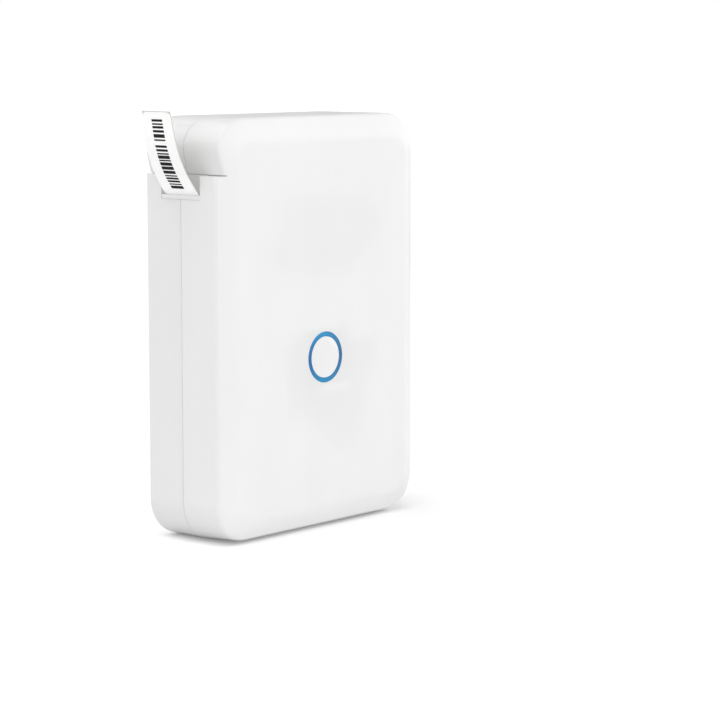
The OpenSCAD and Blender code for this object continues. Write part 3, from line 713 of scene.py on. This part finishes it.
INK_T = 0.012
PRINT_END, PRINT_START = PATH_END - 2.0, OUTLET_S + 1.5
BAR_Y0, BAR_Y1, BAR_STEP = -1.7, 2.6, 0.3
BAR_WIDTHS, BAR_GAPS, RUN_GAP = (0.4, 0.6, 0.9), (0.24, 0.3, 0.4), 0.7
ink = Shader("ink")
ink_grain = ink.noise(1800, 3)
ink.set(Base_Color=ink.mix(ink_grain, (0.004, 0.004, 0.005), (0.014, 0.014, 0.016)),
        Roughness=ink.span(ink_grain, 0.5, 0.7), Specular_IOR_Level=0.2)


def print_marks():
    """Generic print: a short and a long run of plain bars that carry no message."""
    solid = Solid()

    def mark(s0, s1):
        steps = max(2, int((s1 - s0) / BAR_STEP) + 1)
        rings = []
        for i in range(steps + 1):
            s = s0 + (s1 - s0) * i / steps
            rings.append([strip_point(s, y, -WEB - o) for y, o in
                          ((BAR_Y0, 0), (BAR_Y1, 0), (BAR_Y1, INK_T), (BAR_Y0, INK_T))])
        solid.loft(rings)

    s = PRINT_END
    for bars in (6, 22):
        for _ in range(bars):
            wide, gap = RNG.choice(BAR_WIDTHS), RNG.choice(BAR_GAPS)
            if s - wide < PRINT_START:
                break
            mark(s - wide, s)
            s -= wide + gap
        s -= RUN_GAP
    return solid.make("label_print", ink, "housing", (), "label")


print_marks()


# ---------- print head springs and cables ----------

SPRING_S, SPRING_O, SPRING_YS = -3.5, -9.0, (-4.0, 4.8)  # feet of the two springs
SPRING_TURNS, SPRING_L, SPRING_R, SPRING_WIRE = 5.5, 5.1, 1.3, 0.22
END_TURN = 0.12  # share of the wire that lies flat at each end
CABLE_X, CABLE_HALF_T = -35.625, 0.075
CABLE_FOOT, CABLE_FOOT_TOP, CABLE_BEND = 46, 48.6, 75  # heights
CABLE_Y0, CABLE_Y1, CABLE_BACK = -6.4, 1.6, -7.4  # its edges at the foot, and the board's side
CABLE_REACH, CABLE_RISE, CABLE_BULGE = 2.58, 3.72, 0.5  # top end, bent over to the head
JOG, JOG_FROM, JOG_OVER = 3.4, 56, 18  # sideways step, and the heights it takes
PLUG_X = -31


def head_springs():
    """Two coil springs with flat end turns."""
    solid = Solid()
    base = on_path(SPRING_S, SPRING_O)
    n = (math.sin(FEED), -math.cos(FEED))
    t = (math.cos(FEED), math.sin(FEED))
    count = int(SPRING_TURNS * 22)
    for y in SPRING_YS:
        points = []
        for k in range(count + 1):
            a = 2 * math.pi * SPRING_TURNS * k / count
            u = k / count
            ease = min(1, max(0, (u - END_TURN) / (1 - 2 * END_TURN)))
            along = 0.28 + (SPRING_L - 0.5) * ease + 0.05 * u
            points.append((base[0] + n[0] * along + t[0] * SPRING_R * math.cos(a),
                           y + SPRING_R * math.sin(a),
                           base[1] + n[1] * along + t[1] * SPRING_R * math.cos(a)))
        solid.tube(points, SPRING_WIRE, 10)
    start = Vector((base[0], 0, base[1])) * MM
    end = start + Vector((n[0], 0, n[1])) * SPRING_L * MM
    return solid.make("head_spring_coils", steel, ("housing", "print_head", start, end),
                      ("head_springs",), "steel", smooth=50)


def head_cable():
    """Flat cable from the board up the side wall."""
    solid = Solid()
    path = [(CABLE_X, CABLE_FOOT + (CABLE_BEND - CABLE_FOOT) * k / 24) for k in range(25)]
    path += [(CABLE_X + CABLE_REACH * u - CABLE_BULGE * math.sin(math.pi * u),
              CABLE_BEND + CABLE_RISE * u) for u in (k / 8 for k in range(1, 9))]
    rings = []
    for i, (px, pz) in enumerate(path):
        (ax, az), (bx, bz) = path[max(i - 1, 0)], path[min(i + 1, len(path) - 1)]
        run = math.hypot(bx - ax, bz - az)
        nx, nz = (bz - az) / run * CABLE_HALF_T, (ax - bx) / run * CABLE_HALF_T
        u = min(1.0, max(0.0, (pz - JOG_FROM) / JOG_OVER))
        y0, y1 = (y + JOG * u * u * (3 - 2 * u) for y in (CABLE_Y0, CABLE_Y1))
        rings.append([(px - nx, y0, pz - nz), (px + nx, y0, pz + nz),
                      (px + nx, y1, pz + nz), (px - nx, y1, pz - nz)])
    solid.loft(rings)
    left, right = CABLE_X - CABLE_HALF_T, CABLE_X + CABLE_HALF_T
    solid.box((left, CABLE_BACK, CABLE_FOOT), (right, CABLE_Y0 + 0.1, CABLE_FOOT_TOP))
    solid.box((left, CABLE_BACK - 2 * CABLE_HALF_T, CABLE_FOOT),
              (PLUG_X, CABLE_BACK, CABLE_FOOT_TOP))
    start, end = Vector((CABLE_X, 0, 66)) * MM, Vector((-33.3, 0, 78.2)) * MM
    return solid.make("head_flat_cable", film, ("housing", "print_head", start, end),
                      ("head_cable",), "polyimide", smooth=50)


LEAD_R, LEAD_BEND, LEAD_STEP = 0.45, 1.8, 1.4
CELL_TOP, LEAD_TOP, PLUG_Y, PLUG_TOP = 47, 50.2, -4.4, 42.2
wire_black = moulded("wire_black", (0.02, 0.02, 0.022), rough=0.32, grain=900, bump=0.08)


def battery_leads():
    """Two wires from the top of the cell, along it and down to the plug on the board."""
    for i, (name, colour) in enumerate((("battery_lead_red", wire),
                                        ("battery_lead_black", wire_black))):
        x, y, drop = -15 - i * 2, 3 + i * LEAD_STEP, -28 - i * LEAD_STEP
        solid = Solid()
        solid.tube(rounded_path([(x, y, CELL_TOP), (x, y, LEAD_TOP), (drop, y, LEAD_TOP),
                                 (drop, PLUG_Y, 46), (drop, PLUG_Y, PLUG_TOP)], LEAD_BEND),
                   LEAD_R, 14)
        solid.make(name, colour, "housing", ("battery_leads",) if i == 0 else (), "wire",
                   smooth=50)


head_springs()
head_cable()
battery_leads()


# ---------- roll ----------

ROLL_R, CORE_R, LAYERS = 17.4, 9.5, 58
SIDE_R = 0.01735  # metres; the side faces, which show the layers, end here
LINES_PER_M = 7300.0
ROLL = on_path(ROLL_S, ROLL_R + WEB + 0.05)


def wound_roll():
    """Label roll whose side faces show the edges of the wound layers."""
    profile = []
    for k in range(LAYERS + 1):
        r = CORE_R + (ROLL_R - CORE_R) * k / LAYERS
        wobble = RNG.uniform(0, 0.05)
        profile.append((r, LABEL_Y0 + wobble))
        if k < LAYERS:
            profile.append((r + 0.03, LABEL_Y0 + wobble + 0.07))
    back = [(r, LABEL_Y0 + LABEL_Y1 - y) for r, y in profile]
    solid = Solid()
    solid.lathe_y(ROLL, profile + list(reversed(back)), sides=128)
    return solid.make("label_roll_wound", roll_paper, "roll", ("label_roll",), "paper",
                      smooth=40)


roll_paper = Shader("roll_paper")
rp_at = roll_paper.axes(roll_paper.place(move=(-ROLL[0] * MM, 0, -ROLL[1] * MM)))
rp_radius = roll_paper.math("SQRT", roll_paper.math(
    "ADD", roll_paper.math("MULTIPLY", rp_at[0], rp_at[0]),
    roll_paper.math("MULTIPLY", rp_at[2], rp_at[2])))
rings_tex = roll_paper.math("FRACT", roll_paper.math("MULTIPLY", rp_radius, LINES_PER_M))
rp_cloud = roll_paper.noise(260, 4)
side_face = roll_paper.math("LESS_THAN", rp_radius, SIDE_R)
roll_paper.set(Base_Color=roll_paper.mix(
    side_face, (0.84, 0.84, 0.83),
    roll_paper.mix(roll_paper.span(rings_tex, 0, 0.7), (0.66, 0.64, 0.60), (0.52, 0.50, 0.46))),
    Roughness=roll_paper.span(rp_cloud, 0.4, 0.7))
roll_paper.bump(roll_paper.math("MULTIPLY", rings_tex, side_face), 0.3, 0.00003)
wound_roll()


# ---------- board ----------

BOARD_REAR = -8.4  # side of the board that carries the parts
LEG_L, LEG_HALF_W, LEG_T, LEG_INSET = 0.55, 0.12, 0.3, 0.4
# Chips: middle x and z, width, height, thickness, legs on each side
CHIPS = ((-20, 40, 8, 9, 1, 14), (-6, 22, 5, 6, 0.9, 8), (4, 36, 4, 4, 1.2, 4),
         (-18, 20, 4, 4, 1.1, 4), (-8, 46, 3, 3, 1, 3))


def chip(solid, pins, x, z, w, h, t, legs):
    """Package body with legs along two sides."""
    solid.box((x - w / 2, BOARD_REAR + 0.1, z - h / 2), (x + w / 2, BOARD_REAR + t, z + h / 2), 0.15)
    pitch = (h - 2 * LEG_INSET) / max(1, legs - 1)
    for side in (-1, 1):
        for k in range(legs):
            zc = z - h / 2 + LEG_INSET + k * pitch
            x0, x1 = sorted((x + side * w / 2, x + side * (w / 2 + LEG_L)))
            pins.box((x0, BOARD_REAR, zc - LEG_HALF_W), (x1, BOARD_REAR + LEG_T, zc + LEG_HALF_W))


def board_components():
    """Chips, two rows of capacitors, a coil and the head's connector."""
    chips, pins, caps, coil = Solid(), Solid(), Solid(), Solid()
    for values in CHIPS:
        chip(chips, pins, *values)
    coil.box((9, BOARD_REAR, 17), (15, BOARD_REAR + 3, 23), 0.7)
    pins.box((20.4, BOARD_REAR, 42.75), (23.6, BOARD_REAR + 0.8, 45.25), 0.2)
    for k in range(8):
        caps.box((-13 + k * 2.4, BOARD_REAR, 29.5), (-12.2 + k * 2.4, BOARD_REAR + 0.5, 31.1), 0.06)
    for k in range(5):
        caps.box((-28 + k * 2.2, BOARD_REAR, 26), (-26.8 + k * 2.2, BOARD_REAR + 0.5, 26.7), 0.06)
    connector = Solid()
    connector.box((-30.6, BOARD_REAR, 45.5), (-26.6, BOARD_REAR + 2.2, 49), 0.2)
    chips.make("board_chips", black, "housing", ("board_components",), "black_plastic")
    pins.make("chip_legs", steel, "housing", (), "steel")
    caps.make("ceramic_capacitors", card, "housing", (), "ceramic")
    coil.make("power_inductor", dark_ferrite, "housing", (), "black_plastic")
    connector.make("head_connector", acetal, "housing", (), "acetal")


dark_ferrite = moulded("ferrite", (0.10, 0.10, 0.105), rough=0.6, bump=0.4, grain=1400)
board_components()


# ---------- rounded housings ----------

def at_front_crease(v):
    """Vertices round the front face, but not round the button."""
    return abs(v.y - FRONT_Y) < NEAR and math.hypot(v.x, v.z - BUTTON_Z) > BUTTON_CLEAR


def front_lift(v):
    """Draft of the underside, which leaves a thin gap along the front edge."""
    share = min(1.0, max(0.0, (SPLIT_Y - v.y) / (SPLIT_Y - BEVEL_Y)))
    return BASE_DRAFT * share * max(0.0, 1 - v.z / DRAFT_H)


def outer_rim(y):
    """Test for vertices of the outline at depth y, but not of the inner wall."""
    def test(v):
        if abs(v.y - y) > NEAR:
            return False
        edge = min(HALF_W - abs(v.x), v.z, BODY_H - v.z)
        corner = math.hypot(max(0, abs(v.x) - CORE_X), max(0, CORNER_R - v.z, v.z - CORE_Z))
        in_hollow = v.x < SCOOP_X - 3 and v.z > LEDGE_Z - 0.3 and corner > CORNER_R - 1.2
        return edge < RIM or CORNER_R - RIM < corner < CORNER_R + 0.2 or in_hollow
    return test


RIM = 0.6  # less than the walls' thickness
BACK_SEAM_Y = SPLIT_Y + 0.1
# Depths of the cuts, closest together beside the crease
FRONT_CUTS = ([(BEVEL_Y - d, False) for d in (0.05, 0.1, 0.16, 0.22, 0.3, 0.4)]
              + [(BEVEL_Y - 0.5 - 0.1 * k, True) for k in range(10)])
SIDE_CUTS = [(BEVEL_Y + d, False) for d in (0.12, 0.26, 0.42, 0.6, 0.9)]

refine("front_cover", [(at_front_crease, 0.9, 4), (outer_rim(BEVEL_Y), 0.04, 1)], white,
       front_lift, FRONT_CUTS)
refine("mid_housing", [(outer_rim(BEVEL_Y), 0.04, 1), (outer_rim(SPLIT_Y), 0.05, 1)], white,
       front_lift, SIDE_CUTS)
refine("rear_cover", [(outer_rim(BACK_Y), 0.01, 1), (lambda v: v.y > BACK_EDGE_Y - 0.05, 0.9, 4),
                      (outer_rim(BACK_SEAM_Y), 0.05, 1)], milky)
soften(("button_cap",), 0.12)
soften(("light_ring",), 0.05)
soften(("chassis", "battery_cover", "cover_switch", "battery_plug", "paper_sensor",
        "outlet_lip"), 0.1)
soften(("battery_cell",), 1.2, 4)
soften(("motor_can", "motor_end_cap"), 0.35, 3)
soften(("case_screws", "board_screws", "battery_cover_screws", "motor_screws"), 0.08)
soften(("head_heatsink", "head_bracket", "radio_shield", "tact_switch", "usb_socket"), 0.08)
soften(("platen_shaft", "motor_shaft", "head_pivot_pin", "idler_axle", "hinge_pins"), 0.1)


# ---------- stage, light and camera ----------

FLOOR_HALF, FLOOR_Z = 30.0, -0.0001  # metres
CAMERA_AT = (-0.47227, -0.42462, 0.12412)  # metres: a long lens, seen from the left and low
CAMERA_LOOK = (0.7573, 0.6406, -0.1271)
CAMERA_LENS, SENSOR = 122.9, 36  # millimetres


def softbox(name, azimuth, elevation, spread, level):
    """Broad even light from a direction; level is what it adds to a white face turned to it."""
    data = bpy.data.lights.new(name, "SUN")
    data.energy = level * math.pi
    data.angle = math.radians(spread)
    o = bpy.data.objects.new(name, data)
    bpy.context.scene.collection.objects.link(o)
    a, e = math.radians(azimuth), math.radians(elevation)
    source = Vector((math.sin(a) * math.cos(e), -math.cos(a) * math.cos(e), math.sin(e)))
    o.location = source
    o.rotation_euler = (-source).to_track_quat("-Z", "Y").to_euler()


def build_stage():
    """Pale floor, surroundings and lamps."""
    bm = bmesh.new()
    for x, y in ((-1, -1), (1, -1), (1, 1), (-1, 1)):
        bm.verts.new((x * FLOOR_HALF, y * FLOOR_HALF, FLOOR_Z))
    bm.faces.new(bm.verts)
    mesh = bpy.data.meshes.new("floor")
    bm.to_mesh(mesh)
    floor = bpy.data.objects.new("floor", mesh)
    bpy.context.scene.collection.objects.link(floor)
    s = Shader("floor")
    haze = s.span(s.noise(3, 3), 0.985, 1.0)
    seen = s.nt.nodes.new("ShaderNodeLightPath").outputs["Is Camera Ray"]
    level = s.math("MULTIPLY", haze, s.span(seen, FLOOR_BOUNCE, FLOOR_SEEN))
    diffuse = s.nt.nodes.new("ShaderNodeBsdfDiffuse")
    s.put(diffuse.inputs["Color"], level)
    s.link(diffuse.outputs[0], s.out.inputs["Surface"])
    floor.data.materials.append(s.mat)
    floor.visible_shadow = False  # low light still reaches the bevels from just below
    build_world()
    for lamp in SOFTBOXES:
        softbox(*lamp)
    bpy.context.scene.view_settings.view_transform = "Standard"


def build_world():
    """Faint even fill that looks plain white to the camera."""
    world = bpy.data.worlds.new("studio")
    bpy.context.scene.world = world
    world.use_nodes = True
    nt = world.node_tree
    background = nt.nodes["Background"]
    background.inputs["Color"].default_value = (1, 1, 1, 1)
    ray = nt.nodes.new("ShaderNodeLightPath")
    strength = AMBIENT
    for kind, level in (("Is Glossy Ray", REFLECTED), ("Is Camera Ray", 1.0)):
        mix = nt.nodes.new("ShaderNodeMix")
        nt.links.new(ray.outputs[kind], mix.inputs[0])
        if isinstance(strength, float):
            mix.inputs[2].default_value = strength
        else:
            nt.links.new(strength, mix.inputs[2])
        mix.inputs[3].default_value = level
        strength = mix.outputs[0]
    nt.links.new(strength, background.inputs["Strength"])


def build_camera():
    data = bpy.data.cameras.new("camera")
    cam = bpy.data.objects.new("camera", data)
    bpy.context.scene.collection.objects.link(cam)
    data.lens = CAMERA_LENS
    data.sensor_width = SENSOR
    data.clip_start, data.clip_end = 0.01, 20
    cam.location = CAMERA_AT
    cam.rotation_mode = "QUATERNION"
    cam.rotation_quaternion = Vector(CAMERA_LOOK).to_track_quat("-Z", "Y")
    bpy.context.scene.camera = cam


build_stage()
build_camera()
